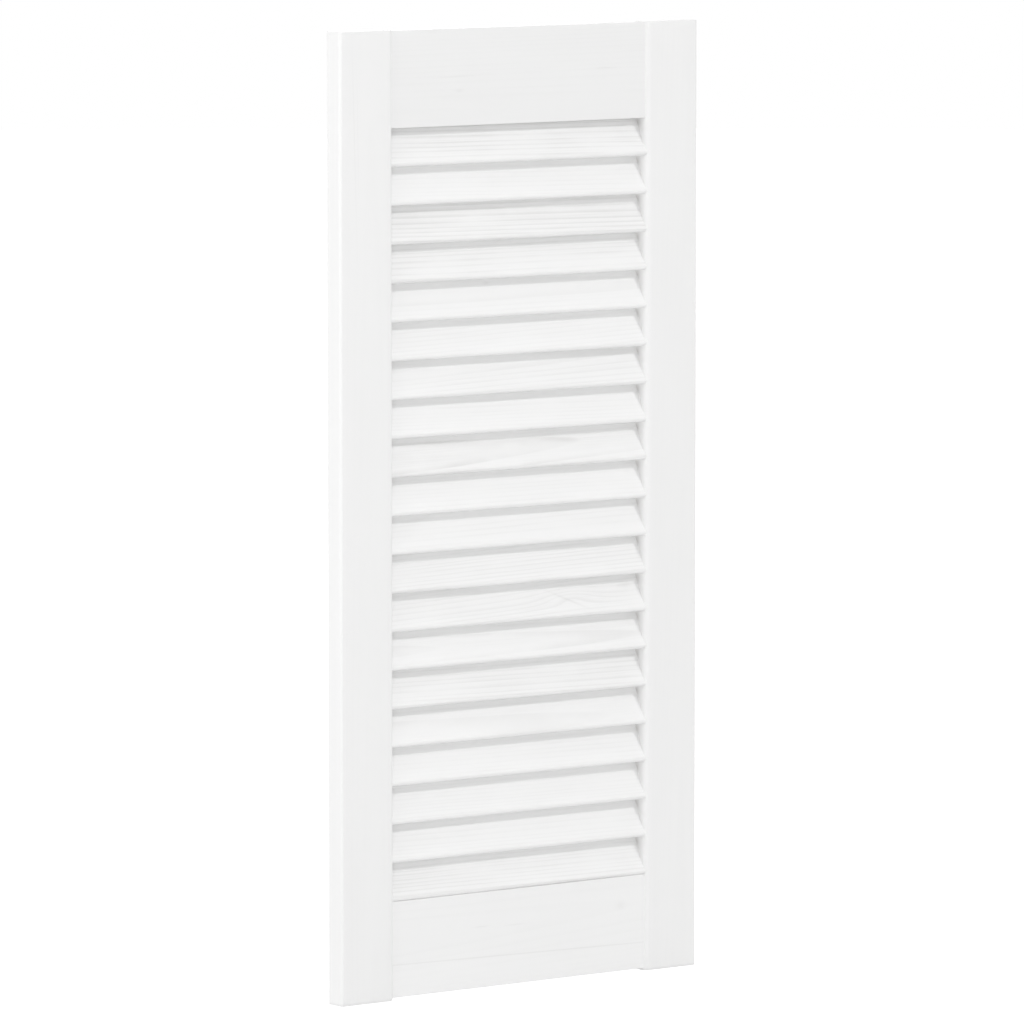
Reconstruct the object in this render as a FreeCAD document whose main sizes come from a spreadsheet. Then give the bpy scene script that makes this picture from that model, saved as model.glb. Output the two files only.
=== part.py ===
import FreeCAD, Part
import enum
import math
import os

import Sketcher
from FreeCAD import Vector

# Louvred cabinet door leaf of painted pine: two stiles, two rails and a ladder of fixed slats.
# Millimetres. The front faces -Y, +X runs from the hinge stile to the closing stile and +Z is up.
# The origin is on the hinge edge of the left stile, at half its thickness and half its height.

SIZES = {
    # Whole leaf
    "door_height": 850.0,
    "door_width": 394.0,
    # Stiles: the two uprights that run the full height
    "stile_width": 58.0,
    "stile_thickness": 21.0,
    "stile_inner_round": 6.0,
    "stile_outer_round": 3.0,
    # Rails: the boards between the stiles, thinner than them and centred on their thickness
    "top_rail_height": 85.0,
    "bottom_rail_height": 85.0,
    "rail_thickness": 15.0,
    "rail_edge_round": 1.0,
    "top_set_in": 0.5,
    "bottom_set_in": 2.0,
    # Stub tenons of the rails and the mortices that take them
    "tenon_length": 25.0,
    "tenon_thickness": 7.0,
    "tenon_shoulder": 12.0,
    "tenon_clearance": 0.2,
    # Slats: thin boards with fully rounded edges, leaning back from the upright
    "slat_count": 20,
    "slat_width": 36.0,
    "slat_thickness": 5.0,
    "slat_lean": 25.0,
    # Slat housings in the stiles, and the gap left at the rails above and below the row of slats
    "housing_depth": 8.0,
    "housing_clearance": 0.15,
    "slat_end_gap": 0.3,
    "slat_rail_gap": 0.3,
}

# Values that follow from the driving sizes. Heights are measured from half the door's height.
LAYOUT = {
    "opening_width": "Sizes.door_width - 2 * Sizes.stile_width",
    "top_rail_centre": "Sizes.door_height / 2 - Sizes.top_set_in - Sizes.top_rail_height / 2",
    "bottom_rail_centre": "Sizes.bottom_set_in + Sizes.bottom_rail_height / 2 - Sizes.door_height / 2",
    "slat_run": "Sizes.slat_width - Sizes.slat_thickness",
    "slat_rise": "slat_run * cos(Sizes.slat_lean * 1 deg) + Sizes.slat_thickness",
    "slat_length": "opening_width + 2 * (Sizes.housing_depth - Sizes.slat_end_gap)",
    "slat_ceiling": "top_rail_centre - Sizes.top_rail_height / 2 - Sizes.slat_rail_gap",
    "slat_floor": "bottom_rail_centre + Sizes.bottom_rail_height / 2 + Sizes.slat_rail_gap",
    "slat_pitch": "(slat_ceiling - slat_floor - slat_rise) / (Sizes.slat_count - 1)",
    "lowest_slat_centre": "slat_floor + slat_rise / 2",
}

NORMAL = Vector(0, 0, 1)


class Side(enum.IntEnum):
    """The stile's side of the opening, as the sign of X from its outer edge inwards."""

    LEFT = 1
    RIGHT = -1


class Spot(enum.IntEnum):
    """The points of a line or an arc that a sketch constraint can name."""

    START = 1
    END = 2
    CENTRE = 3


class Axis(enum.IntEnum):
    """The numbers that a sketch gives its own axes; the first one starts at the origin."""

    ACROSS = -1
    UP = -2


doc = FreeCAD.newDocument("LouvredDoor")


def make_sheet(name, cells):
    """Add a spreadsheet with one named cell a row: the name in column A and its content in column B."""
    sheet = doc.addObject("Spreadsheet::Sheet", name)
    for row, (alias, content) in enumerate(cells.items(), start=1):
        sheet.set(f"A{row}", alias)
        sheet.set(f"B{row}", content)
        sheet.setAlias(f"B{row}", alias)
    doc.recompute()
    return sheet


def origin_feature(body, role):
    """Return a body's own origin plane or axis by its role."""
    return next(feature for feature in body.Origin.OriginFeatures if feature.Role == role)


def new_body(name, placement):
    """Add a body with a label and a placement bound to the sheets, as {axis: expression}."""
    body = doc.addObject("PartDesign::Body", name)
    body.Label = name
    for axis, expression in placement.items():
        body.setExpression(f"Placement.Base.{axis}", expression)
    return body


def new_sketch(body, name, plane, offset=None):
    """Add a sketch on one of the body's origin planes, shifted along the sketch's axes by expressions."""
    sketch = body.newObject("Sketcher::SketchObject", name)
    sketch.AttachmentSupport = [(origin_feature(body, plane), "")]
    sketch.MapMode = "FlatFace"
    for axis, expression in (offset or {}).items():
        sketch.setExpression(f"AttachmentOffset.Base.{axis}", expression)
    return sketch


def bind(sketch, constraint, name, expression):
    """Add a dimension to a sketch, name it and bind it to an expression."""
    index = sketch.addConstraint(constraint)
    sketch.renameConstraint(index, name)
    sketch.setExpression(f"Constraints.{name}", expression)


def draw_rectangle(sketch, width, height):
    """Draw a rectangle centred on the sketch's origin, with expressions for its width and height."""
    corners = [Vector(-1, -1, 0), Vector(1, -1, 0), Vector(1, 1, 0), Vector(-1, 1, 0)]
    span = corners[2] - corners[0]
    for corner, following in zip(corners, corners[1:] + corners[:1]):
        sketch.addGeometry(Part.LineSegment(corner, following), False)
    for line in range(4):
        sketch.addConstraint(Sketcher.Constraint("Coincident", line, Spot.END, (line + 1) % 4, Spot.START))
    for line, direction in enumerate(("Horizontal", "Vertical", "Horizontal", "Vertical")):
        sketch.addConstraint(Sketcher.Constraint(direction, line))
    sketch.addConstraint(Sketcher.Constraint("Symmetric", 0, Spot.START, 1, Spot.END, Axis.ACROSS, Spot.START))
    bind(sketch, Sketcher.Constraint("DistanceX", 0, Spot.START, 0, Spot.END, span.x), "width", width)
    bind(sketch, Sketcher.Constraint("DistanceY", 1, Spot.START, 1, Spot.END, span.y), "height", height)


def draw_stile_section(sketch, side):
    """Draw a stile's cross section: outer edge on the vertical axis, inner edge towards the opening."""
    width = SIZES["stile_width"]
    half = SIZES["stile_thickness"] / 2
    radius = {"outer": SIZES["stile_outer_round"], "inner": SIZES["stile_inner_round"]}
    place = {"outer": 0.0, "inner": side * width}
    away = {"outer": -side, "inner": side}
    level = {"front": -half, "back": half}
    turn = {"front": -1, "back": 1}

    lines = {}
    for face in ("front", "back"):
        outer = Vector(place["outer"] - away["outer"] * radius["outer"], level[face], 0)
        inner = Vector(place["inner"] - away["inner"] * radius["inner"], level[face], 0)
        lines[face] = sketch.addGeometry(Part.LineSegment(outer, inner), False)
    for edge in ("outer", "inner"):
        low = Vector(place[edge], level["front"] + radius[edge], 0)
        high = Vector(place[edge], level["back"] - radius[edge], 0)
        lines[edge] = sketch.addGeometry(Part.LineSegment(low, high), False)

    quadrants = {(1, 1): 0, (-1, 1): 1, (-1, -1): 2, (1, -1): 3}
    arcs = {}
    for edge, face_end in (("outer", Spot.START), ("inner", Spot.END)):
        for face, edge_end in (("front", Spot.START), ("back", Spot.END)):
            centre_x = place[edge] - away[edge] * radius[edge]
            centre_y = level[face] - turn[face] * radius[edge]
            circle = Part.Circle(Vector(centre_x, centre_y, 0), NORMAL, radius[edge])
            quadrant = quadrants[(away[edge], turn[face])]
            arc = Part.ArcOfCircle(circle, quadrant * math.pi / 2, (quadrant + 1) * math.pi / 2)
            index = sketch.addGeometry(arc, False)
            arcs[edge, face] = index
            beside_edge = Spot.START if away[edge] * turn[face] > 0 else Spot.END
            beside_face = Spot.END if beside_edge == Spot.START else Spot.START
            sketch.addConstraint(Sketcher.Constraint("Tangent", lines[edge], edge_end, index, beside_edge))
            sketch.addConstraint(Sketcher.Constraint("Tangent", lines[face], face_end, index, beside_face))

    sketch.addConstraint(Sketcher.Constraint("Horizontal", lines["front"]))
    sketch.addConstraint(Sketcher.Constraint("Horizontal", lines["back"]))
    sketch.addConstraint(Sketcher.Constraint("Vertical", lines["inner"]))
    outer_ends = (lines["outer"], Spot.START, lines["outer"], Spot.END)
    sketch.addConstraint(Sketcher.Constraint("Symmetric", *outer_ends, Axis.ACROSS))
    sketch.addConstraint(Sketcher.Constraint("PointOnObject", lines["outer"], Spot.START, Axis.UP))
    for edge in ("outer", "inner"):
        sketch.addConstraint(Sketcher.Constraint("Equal", arcs[edge, "front"], arcs[edge, "back"]))
        rounding = Sketcher.Constraint("Radius", arcs[edge, "front"], radius[edge])
        bind(sketch, rounding, f"{edge}_round", f"Sizes.stile_{edge}_round")
    ends = [(lines["outer"], Spot.START), (lines["inner"], Spot.START)]
    first, second = ends if side == Side.LEFT else reversed(ends)
    bind(sketch, Sketcher.Constraint("DistanceX", *first, *second, width), "width", "Sizes.stile_width")
    faces = (lines["front"], Spot.START, lines["back"], Spot.START)
    height = Sketcher.Constraint("DistanceY", *faces, SIZES["stile_thickness"])
    bind(sketch, height, "thickness", "Sizes.stile_thickness")


def draw_slat_section(sketch, clearance):
    """Draw a slat's leaning section with round edges, centred on the origin and widened by a clearance."""
    run = SIZES["slat_width"] - SIZES["slat_thickness"]
    radius = SIZES["slat_thickness"] / 2
    lean = math.radians(SIZES["slat_lean"])
    along = Vector(math.sin(lean), math.cos(lean), 0)
    across = Vector(math.cos(lean), -math.sin(lean), 0) * radius
    nose = along * (-run / 2)
    crest = along * (run / 2)
    half_turn = math.pi

    axis = sketch.addGeometry(Part.LineSegment(nose, crest), True)
    crest_circle = Part.Circle(crest, NORMAL, radius)
    crest_arc = sketch.addGeometry(Part.ArcOfCircle(crest_circle, -lean, half_turn - lean), False)
    nose_circle = Part.Circle(nose, NORMAL, radius)
    nose_arc = sketch.addGeometry(Part.ArcOfCircle(nose_circle, half_turn - lean, 2 * half_turn - lean), False)
    back = sketch.addGeometry(Part.LineSegment(nose + across, crest + across), False)
    front = sketch.addGeometry(Part.LineSegment(crest - across, nose - across), False)

    sketch.addConstraint(Sketcher.Constraint("Coincident", crest_arc, Spot.CENTRE, axis, Spot.END))
    sketch.addConstraint(Sketcher.Constraint("Coincident", nose_arc, Spot.CENTRE, axis, Spot.START))
    sketch.addConstraint(Sketcher.Constraint("Tangent", back, Spot.END, crest_arc, Spot.START))
    sketch.addConstraint(Sketcher.Constraint("Tangent", crest_arc, Spot.END, front, Spot.START))
    sketch.addConstraint(Sketcher.Constraint("Tangent", front, Spot.END, nose_arc, Spot.START))
    sketch.addConstraint(Sketcher.Constraint("Tangent", nose_arc, Spot.END, back, Spot.START))
    sketch.addConstraint(Sketcher.Constraint("Equal", crest_arc, nose_arc))
    ends = (axis, Spot.START, axis, Spot.END)
    sketch.addConstraint(Sketcher.Constraint("Symmetric", *ends, Axis.ACROSS, Spot.START))
    bind(sketch, Sketcher.Constraint("Distance", axis, run), "run", "Layout.slat_run")
    slope = Sketcher.Constraint("Angle", axis, math.pi / 2 - lean)
    bind(sketch, slope, "slope", "90 deg - Sizes.slat_lean * 1 deg")
    edge_round = Sketcher.Constraint("Radius", crest_arc, radius)
    bind(sketch, edge_round, "edge_round", f"Sizes.slat_thickness / 2 + {clearance}")


def pad(body, sketch, name, length):
    """Extrude a sketch to both sides by half of a length."""
    feature = body.newObject("PartDesign::Pad", name)
    feature.Profile = sketch
    feature.SideType = "Symmetric"
    feature.setExpression("Length", length)
    doc.recompute()
    return feature


def pocket(body, sketch, name, depth=None, reverse=False):
    """Cut a sketch into the body to a depth, or right through both ways, and check that it removed wood."""
    before = body.Shape.Volume
    feature = body.newObject("PartDesign::Pocket", name)
    feature.Profile = sketch
    if depth is None:
        feature.SideType = "Symmetric"
        feature.Type = "ThroughAll"
    else:
        feature.Reversed = reverse
        feature.setExpression("Length", depth)
    doc.recompute()
    check_cut(body, before, name)
    return feature


def check_cut(body, before, name):
    """Stop if a cut left the body's volume as it was."""
    if not body.Shape.Volume < before:
        raise RuntimeError(f"{body.Label}: {name} removed nothing")


def make_stile(name, side):
    """A full-height upright with rounded long edges, two mortices and a ladder of slat housings."""
    sign = "" if side == Side.LEFT else "-"
    body = new_body(name, {} if side == Side.LEFT else {"x": "Sizes.door_width"})
    section = new_sketch(body, f"{name}_section", "XY_Plane")
    draw_stile_section(section, side)
    pad(body, section, f"{name}_upright", "Sizes.door_height")

    inner_face = f"{sign}Sizes.stile_width"
    for rail in ("top_rail", "bottom_rail"):
        place = {"y": f"Layout.{rail}_centre", "z": inner_face}
        mouth = new_sketch(body, f"{name}_{rail}_mouth", "YZ_Plane", place)
        draw_rectangle(
            mouth,
            "Sizes.tenon_thickness + 2 * Sizes.tenon_clearance",
            f"Sizes.{rail}_height - 2 * Sizes.tenon_shoulder + 2 * Sizes.tenon_clearance",
        )
        depth = "Sizes.tenon_length + Sizes.tenon_clearance"
        pocket(body, mouth, f"{name}_{rail}_mortice", depth, reverse=side == Side.RIGHT)

    place = {"y": "Layout.lowest_slat_centre", "z": inner_face}
    slot = new_sketch(body, f"{name}_slot", "YZ_Plane", place)
    draw_slat_section(slot, "Sizes.housing_clearance")
    housing = pocket(body, slot, f"{name}_housing", "Sizes.housing_depth", reverse=side == Side.RIGHT)
    before = body.Shape.Volume
    ladder = body.newObject("PartDesign::LinearPattern", f"{name}_housings")
    ladder.Originals = [housing]
    ladder.Direction = (origin_feature(body, "Z_Axis"), [""])
    ladder.Mode = "Spacing"
    ladder.setExpression("Offset", "Layout.slat_pitch")
    ladder.setExpression("Occurrences", "Sizes.slat_count")
    body.Tip = ladder
    doc.recompute()
    check_cut(body, before, ladder.Name)
    return body


def edges_along_x(shape):
    """Name a shape's straight edges that run along X."""
    names = []
    for number, edge in enumerate(shape.Edges, start=1):
        run = edge.Vertexes[-1].Point - edge.Vertexes[0].Point
        if abs(run.x) > abs(run.y) + abs(run.z):
            names.append(f"Edge{number}")
    return names


def make_rail(name):
    """A board between the stiles, with ends scribed to their rounded edges and a stub tenon at each end."""
    placement = {"x": "Sizes.door_width / 2", "z": f"Layout.{name}_centre"}
    body = new_body(name, placement)
    board = new_sketch(body, f"{name}_board", "XZ_Plane")
    draw_rectangle(board, "Layout.opening_width + 2 * Sizes.stile_inner_round", f"Sizes.{name}_height")
    blank = pad(body, board, f"{name}_blank", "Sizes.rail_thickness")

    eased = body.newObject("PartDesign::Fillet", f"{name}_eased")
    eased.Base = (blank, edges_along_x(blank.Shape))
    eased.setExpression("Radius", "Sizes.rail_edge_round")
    doc.recompute()

    for side, word, sign in ((Side.LEFT, "left", "-"), (Side.RIGHT, "right", "")):
        place = {"x": f"{sign}Sizes.door_width / 2"}
        outline = new_sketch(body, f"{name}_{word}_outline", "XY_Plane", place)
        draw_stile_section(outline, side)
        pocket(body, outline, f"{name}_{word}_scribe")

    tongue = new_sketch(body, f"{name}_tongue", "XZ_Plane")
    draw_rectangle(
        tongue,
        "Layout.opening_width + 2 * Sizes.tenon_length",
        f"Sizes.{name}_height - 2 * Sizes.tenon_shoulder",
    )
    pad(body, tongue, f"{name}_tenons", "Sizes.tenon_thickness")
    return body


def make_slat(number):
    """One slat, counted from the top, reaching into its housings in both stiles."""
    steps = SIZES["slat_count"] - number
    placement = {
        "x": "Sizes.door_width / 2",
        "z": f"Layout.lowest_slat_centre + {steps} * Layout.slat_pitch",
    }
    body = new_body(f"slat_{number:02d}", placement)
    section = new_sketch(body, f"{body.Label}_section", "YZ_Plane")
    draw_slat_section(section, "0")
    pad(body, section, f"{body.Label}_strip", "Layout.slat_length")
    return body


def check_and_write(bodies):
    """Check every object of the document, then write each sub-part to a file of its own."""
    doc.recompute()
    for item in doc.Objects:
        if "Invalid" in item.State or "Error" in item.State:
            raise RuntimeError(f"{item.Label} is {item.State}")
    for body in bodies:
        shape = body.Shape
        if shape.isNull() or not shape.isValid() or len(shape.Solids) != 1:
            raise RuntimeError(f"{body.Label} is not one valid solid")
    os.makedirs("parts", exist_ok=True)
    for body in bodies:
        body.Shape.exportStep(f"parts/{body.Label}.step")


make_sheet("Sizes", {name: str(value) for name, value in SIZES.items()})
make_sheet("Layout", {name: f"={formula}" for name, formula in LAYOUT.items()})

left_stile = make_stile("left_stile", Side.LEFT)
right_stile = make_stile("right_stile", Side.RIGHT)
top_rail = make_rail("top_rail")
bottom_rail = make_rail("bottom_rail")
slats = [make_slat(number) for number in range(1, SIZES["slat_count"] + 1)]
check_and_write([left_stile, right_stile, top_rail, bottom_rail, *slats])
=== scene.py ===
"""Looks of a louvred cabinet door leaf: white satin paint over pine boards.

The leaf faces -Y, stands along +Z and hangs from the edge of its left stile. Lengths are metres, apart from
those of the marks in the boards, which are millimetres.
"""

import logging
import math
from dataclasses import dataclass
from enum import Enum

import bmesh
import bpy
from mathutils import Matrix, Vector, noise


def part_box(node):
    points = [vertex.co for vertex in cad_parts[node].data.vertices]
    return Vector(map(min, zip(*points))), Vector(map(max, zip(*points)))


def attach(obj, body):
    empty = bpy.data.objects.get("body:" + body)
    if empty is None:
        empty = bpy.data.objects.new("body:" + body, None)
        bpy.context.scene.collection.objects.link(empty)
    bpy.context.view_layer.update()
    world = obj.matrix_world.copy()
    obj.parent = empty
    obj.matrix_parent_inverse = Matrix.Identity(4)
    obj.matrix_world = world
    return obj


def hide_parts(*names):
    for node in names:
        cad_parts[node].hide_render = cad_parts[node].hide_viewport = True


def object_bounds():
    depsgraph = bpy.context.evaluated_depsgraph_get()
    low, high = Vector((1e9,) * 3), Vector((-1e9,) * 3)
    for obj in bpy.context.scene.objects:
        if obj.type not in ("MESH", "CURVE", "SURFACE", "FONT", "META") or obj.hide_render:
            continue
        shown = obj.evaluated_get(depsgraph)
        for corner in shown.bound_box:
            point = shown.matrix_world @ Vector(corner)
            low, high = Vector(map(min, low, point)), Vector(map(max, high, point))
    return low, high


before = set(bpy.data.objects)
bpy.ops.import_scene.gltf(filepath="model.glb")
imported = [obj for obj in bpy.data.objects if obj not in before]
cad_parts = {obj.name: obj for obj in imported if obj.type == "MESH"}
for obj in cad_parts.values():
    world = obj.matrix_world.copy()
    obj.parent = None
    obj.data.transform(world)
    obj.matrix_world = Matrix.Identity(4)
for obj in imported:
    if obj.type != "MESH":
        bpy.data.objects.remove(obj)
CAD_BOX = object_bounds()

log = logging.getLogger("louvred_door")

MM = 0.001
BODY = "root"
SLATS = sorted(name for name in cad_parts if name.startswith("slat_"))

# What the paint reads from a board's mesh: a point's place along, through and across the board, the board's
# number, how much of its grain shows and how bright its paint is.
PLACE = "board_place"
NUMBER = "board_number"
SHOW = "grain_show"
TONE = "paint_tone"

# A board's number picks its grain. The slats are numbered from 1 at the top.
LEFT_STILE = 31
RIGHT_STILE = 32
TOP_RAIL = 41
BOTTOM_RAIL = 42

# Millimetres that reach far past the door, for a mark that has no end one way.
ENDLESS = 10_000.0

Socket = bpy.types.NodeSocket
Value = float | Socket
Inputs = dict[str | int, object]
Colour = tuple[float, float, float, float]
Triple = tuple[float, float, float]


class Run(Enum):
    """The way a board's length, and so its grain, runs."""

    UPRIGHT = "z"
    LEVEL = "x"


class Side(Enum):
    """The side of the opening that a stile stands on, as the sign of X from its outer edge inwards."""

    HINGE = 1
    CLOSING = -1


class SocketKind(Enum):
    """The kinds of socket that the node groups have."""

    FLOAT = "NodeSocketFloat"
    INTEGER = "NodeSocketInt"
    VECTOR = "NodeSocketVector"
    COLOUR = "NodeSocketColor"
    MATERIAL = "NodeSocketMaterial"
    GEOMETRY = "NodeSocketGeometry"


class TreeMaker:
    """Adds, sets and links the nodes of one node tree."""

    def __init__(self, tree: bpy.types.NodeTree) -> None:
        """Start on a shader or geometry tree."""
        self.tree = tree

    def add(self, kind: str, inputs: Inputs | None = None, **settings: object) -> bpy.types.Node:
        """Add a node.

        Args:
            kind: The node's type name.
            inputs: Plain values, or sockets to link from, by the name or place of the node's input.
            settings: Properties to set on it first.

        Returns:
            The new node.
        """
        node = self.tree.nodes.new(kind)
        for name, value in settings.items():
            setattr(node, name, value)
        for key, value in (inputs or {}).items():
            if isinstance(value, bpy.types.NodeSocket):
                self.tree.links.new(value, node.inputs[key])
            else:
                node.inputs[key].default_value = value
        return node

    def math(self, operation: str, *values: Value) -> Socket:
        """Work out one operation on numbers or sockets, in their order."""
        return self.add("ShaderNodeMath", dict(enumerate(values)), operation=operation).outputs[0]

    def square(self, value: Socket) -> Socket:
        """Multiply a value by itself."""
        return self.math("MULTIPLY", value, value)

    def vector(self, *parts: Value) -> Socket:
        """Combine three numbers or sockets into a vector."""
        return self.add("ShaderNodeCombineXYZ", dict(enumerate(parts))).outputs[0]

    def split(self, vector: Socket) -> list[Socket]:
        """Split a vector into its three parts."""
        return list(self.add("ShaderNodeSeparateXYZ", {0: vector}).outputs)

    def stretch(self, vector: Socket, scale: Triple) -> Socket:
        """Multiply a vector by fixed factors, part by part."""
        return self.add("ShaderNodeVectorMath", {0: vector, 1: scale}, operation="MULTIPLY").outputs[0]

    def clamp(self, value: Socket) -> Socket:
        """Keep a value from 0 to 1."""
        return self.add("ShaderNodeClamp", {0: value}).outputs[0]

    def stored(self, name: str, output: str = "Fac") -> Socket:
        """Read in a material what a board's mesh stores under a name."""
        return self.add("ShaderNodeAttribute", attribute_name=name).outputs[output]

    def noise(self, place: Socket, seed: Value, detail: float = 2.0, rough: float = 0.5) -> Socket:
        """Add a noise texture of scale 1 that a seed shifts.

        Args:
            place: The vector that it reads.
            seed: The fourth coordinate.
            detail: Its octaves.
            rough: How strong the finer octaves are.

        Returns:
            The value socket, about 0.5 on average.
        """
        inputs = {"Vector": place, "W": seed, "Scale": 1.0, "Detail": detail, "Roughness": rough}
        return self.add("ShaderNodeTexNoise", inputs, noise_dimensions="4D").outputs[0]

    def board_noise(
        self,
        place: Socket,
        number: Socket,
        scale: Triple,
        seed: Value,
        detail: float = 2.0,
        rough: float = 0.5,
    ) -> Socket:
        """Add a stretched noise that differs from board to board.

        Args:
            place: The place on the board.
            number: The board's number.
            scale: How often it changes in a metre along, through and across the board.
            seed: What sets it apart from the other noises of the board.
            detail: Its octaves.
            rough: How strong the finer octaves are.

        Returns:
            The value socket, about 0.5 on average.
        """
        return self.noise(self.stretch(place, scale), self.math("ADD", number, seed), detail, rough)

    def ramp(self, value: Value, low: float, high: float, start: Value, end: Value) -> Socket:
        """Map a value smoothly from one range to another.

        Args:
            value: What is mapped.
            low: The value that gives start.
            high: The value that gives end.
            start: Result at low and below.
            end: Result at high and above.

        Returns:
            The result socket.
        """
        inputs = {"Value": value, "From Min": low, "From Max": high, "To Min": start, "To Max": end}
        return self.add("ShaderNodeMapRange", inputs, interpolation_type="SMOOTHSTEP").outputs[0]


def floats(*names: str) -> dict[str, SocketKind]:
    """Describe plain number sockets by their names."""
    return dict.fromkeys(names, SocketKind.FLOAT)


def new_group(
    kind: str, name: str, inputs: dict[str, SocketKind], outputs: dict[str, SocketKind]
) -> TreeMaker:
    """Make an empty node group with named sockets.

    Args:
        kind: The tree's type name.
        name: The group's name.
        inputs: Each input's name with its kind.
        outputs: Each output's name with its kind.

    Returns:
        A maker on the new tree.
    """
    tree = bpy.data.node_groups.new(name, kind)
    for in_out, sockets in (("INPUT", inputs), ("OUTPUT", outputs)):
        for label, socket_kind in sockets.items():
            tree.interface.new_socket(label, in_out=in_out, socket_type=socket_kind.value)
    return TreeMaker(tree)


def empty_nodes(owner: bpy.types.Material | bpy.types.World) -> TreeMaker:
    """Give a material or world an empty node tree.

    Args:
        owner: The new material or world.

    Returns:
        A maker on its tree.
    """
    owner.use_nodes = True
    owner.node_tree.nodes.clear()
    return TreeMaker(owner.node_tree)


def pine_figure_group() -> bpy.types.NodeTree:
    """Make the growth rings of a sawn pine board.

    The board's place has its grain along X, its thickness along Y and its width along Z. Its number picks
    where the heart of the tree lay, so that one board shows straight lines and the next wide arches.

    Returns:
        The group, which puts out Latewood, the dark lines, and Fibre, fine streaks, both from 0 to 1.
    """
    heart_aside = 45.0 * MM
    heart_nearest, heart_farthest = 12.0 * MM, 50.0 * MM
    steepest_grain, trunk_taper = 0.03, 0.012
    sway_scale, sway_seed = (5.0, 30.0, 30.0), 0.0
    fibre_scale, fibre_seed, fibre_rough = (9.0, 800.0, 800.0), 3.7, 0.6
    fibre_low, fibre_high = 0.25, 0.75
    spacing_rate, spacing_change = 0.35, 1.6
    latewood_starts, latewood_ends = 0.35, 0.9

    make = new_group(
        "ShaderNodeTree",
        "pine_figure",
        {"Place": SocketKind.VECTOR, **floats("Number", "Ring Spacing", "Wander", "Swirl")},
        floats("Latewood", "Fibre"),
    )
    source = make.add("NodeGroupInput").outputs
    place, number = source["Place"], source["Number"]
    along, through, across = make.split(place)

    chance = make.add("ShaderNodeTexWhiteNoise", {"W": number}, noise_dimensions="1D")
    first, second, third = make.split(chance.outputs["Color"])
    heart_across = make.ramp(first, 0.0, 1.0, -heart_aside, heart_aside)
    heart_depth = make.ramp(second, 0.0, 1.0, heart_nearest, heart_farthest)
    slope = make.ramp(third, 0.0, 1.0, -steepest_grain, steepest_grain)

    sway = make.board_noise(place, number, sway_scale, sway_seed)
    drift = make.math("MULTIPLY", make.math("SUBTRACT", sway, 0.5), source["Wander"])
    from_heart = make.math("SUBTRACT", across, heart_across)
    sloped = make.math("ADD", from_heart, make.math("MULTIPLY", along, slope))
    sideways = make.math("ADD", sloped, drift)
    tapered = make.math("MULTIPLY", along, trunk_taper)
    depth = make.math("ADD", make.math("ADD", through, heart_depth), tapered)
    squares = make.math("ADD", make.square(sideways), make.square(depth))
    radius = make.math("ADD", make.math("SQRT", squares), source["Swirl"])

    rings = make.math("DIVIDE", radius, source["Ring Spacing"])
    uneven = make.noise(make.vector(make.math("MULTIPLY", rings, spacing_rate), 0.0, 0.0), number, 1.0)
    phase = make.math("FRACT", make.math("ADD", rings, make.math("MULTIPLY", uneven, spacing_change)))
    rise = make.ramp(phase, latewood_starts, latewood_ends, 0.0, 1.0)
    fall = make.ramp(phase, latewood_ends, 1.0, 1.0, 0.0)
    latewood = make.math("MULTIPLY", rise, fall)

    streak = make.board_noise(place, number, fibre_scale, fibre_seed, rough=fibre_rough)
    fibre = make.ramp(streak, fibre_low, fibre_high, 0.0, 1.0)
    make.add("NodeGroupOutput", {"Latewood": latewood, "Fibre": fibre})
    return make.tree


def mark_group() -> bpy.types.NodeTree:
    """Make one mark in a board, or a row of them: a knot, a dark line of the grain or painted shade.

    Returns:
        The group, which puts out how dark the mark or its painted shade is, and Swirl, how far it pushes the
        rings aside.
    """
    placing = floats("Number", "Board", "Along", "Across", "Through", "Slope", "Repeat")
    sizing = floats("Length", "Width", "Depth", "Darkness", "Push")
    make = new_group(
        "ShaderNodeTree",
        "board_mark",
        {"Place": SocketKind.VECTOR, **placing, **sizing},
        floats("Stain And Shade", "Swirl"),
    )
    source = make.add("NodeGroupInput").outputs
    along, through, across = make.split(source["Place"])
    half_repeat = make.math("MULTIPLY", source["Repeat"], 0.5)
    from_first = make.math("SUBTRACT", along, source["Along"])
    from_mark = make.math("WRAP", from_first, half_repeat, make.math("MULTIPLY", half_repeat, -1.0))
    level = make.math("ADD", source["Across"], make.math("MULTIPLY", from_mark, source["Slope"]))
    far = make.math("DIVIDE", from_mark, source["Length"])
    wide = make.math("DIVIDE", make.math("SUBTRACT", across, level), source["Width"])
    deep = make.math("DIVIDE", make.math("SUBTRACT", through, source["Through"]), source["Depth"])
    on_face = make.math("ADD", make.square(far), make.square(wide))
    squares = make.math("ADD", on_face, make.square(deep))
    near = make.math("EXPONENT", make.math("MULTIPLY", squares, -1.0))
    other = make.math("ABSOLUTE", make.math("SUBTRACT", source["Number"], source["Board"]))
    mask = make.math("MULTIPLY", near, make.math("LESS_THAN", other, 0.5))
    stain_and_shade = make.math("MULTIPLY", mask, source["Darkness"])
    swirl = make.math("MULTIPLY", mask, source["Push"])
    make.add("NodeGroupOutput", {"Stain And Shade": stain_and_shade, "Swirl": swirl})
    return make.tree


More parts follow.
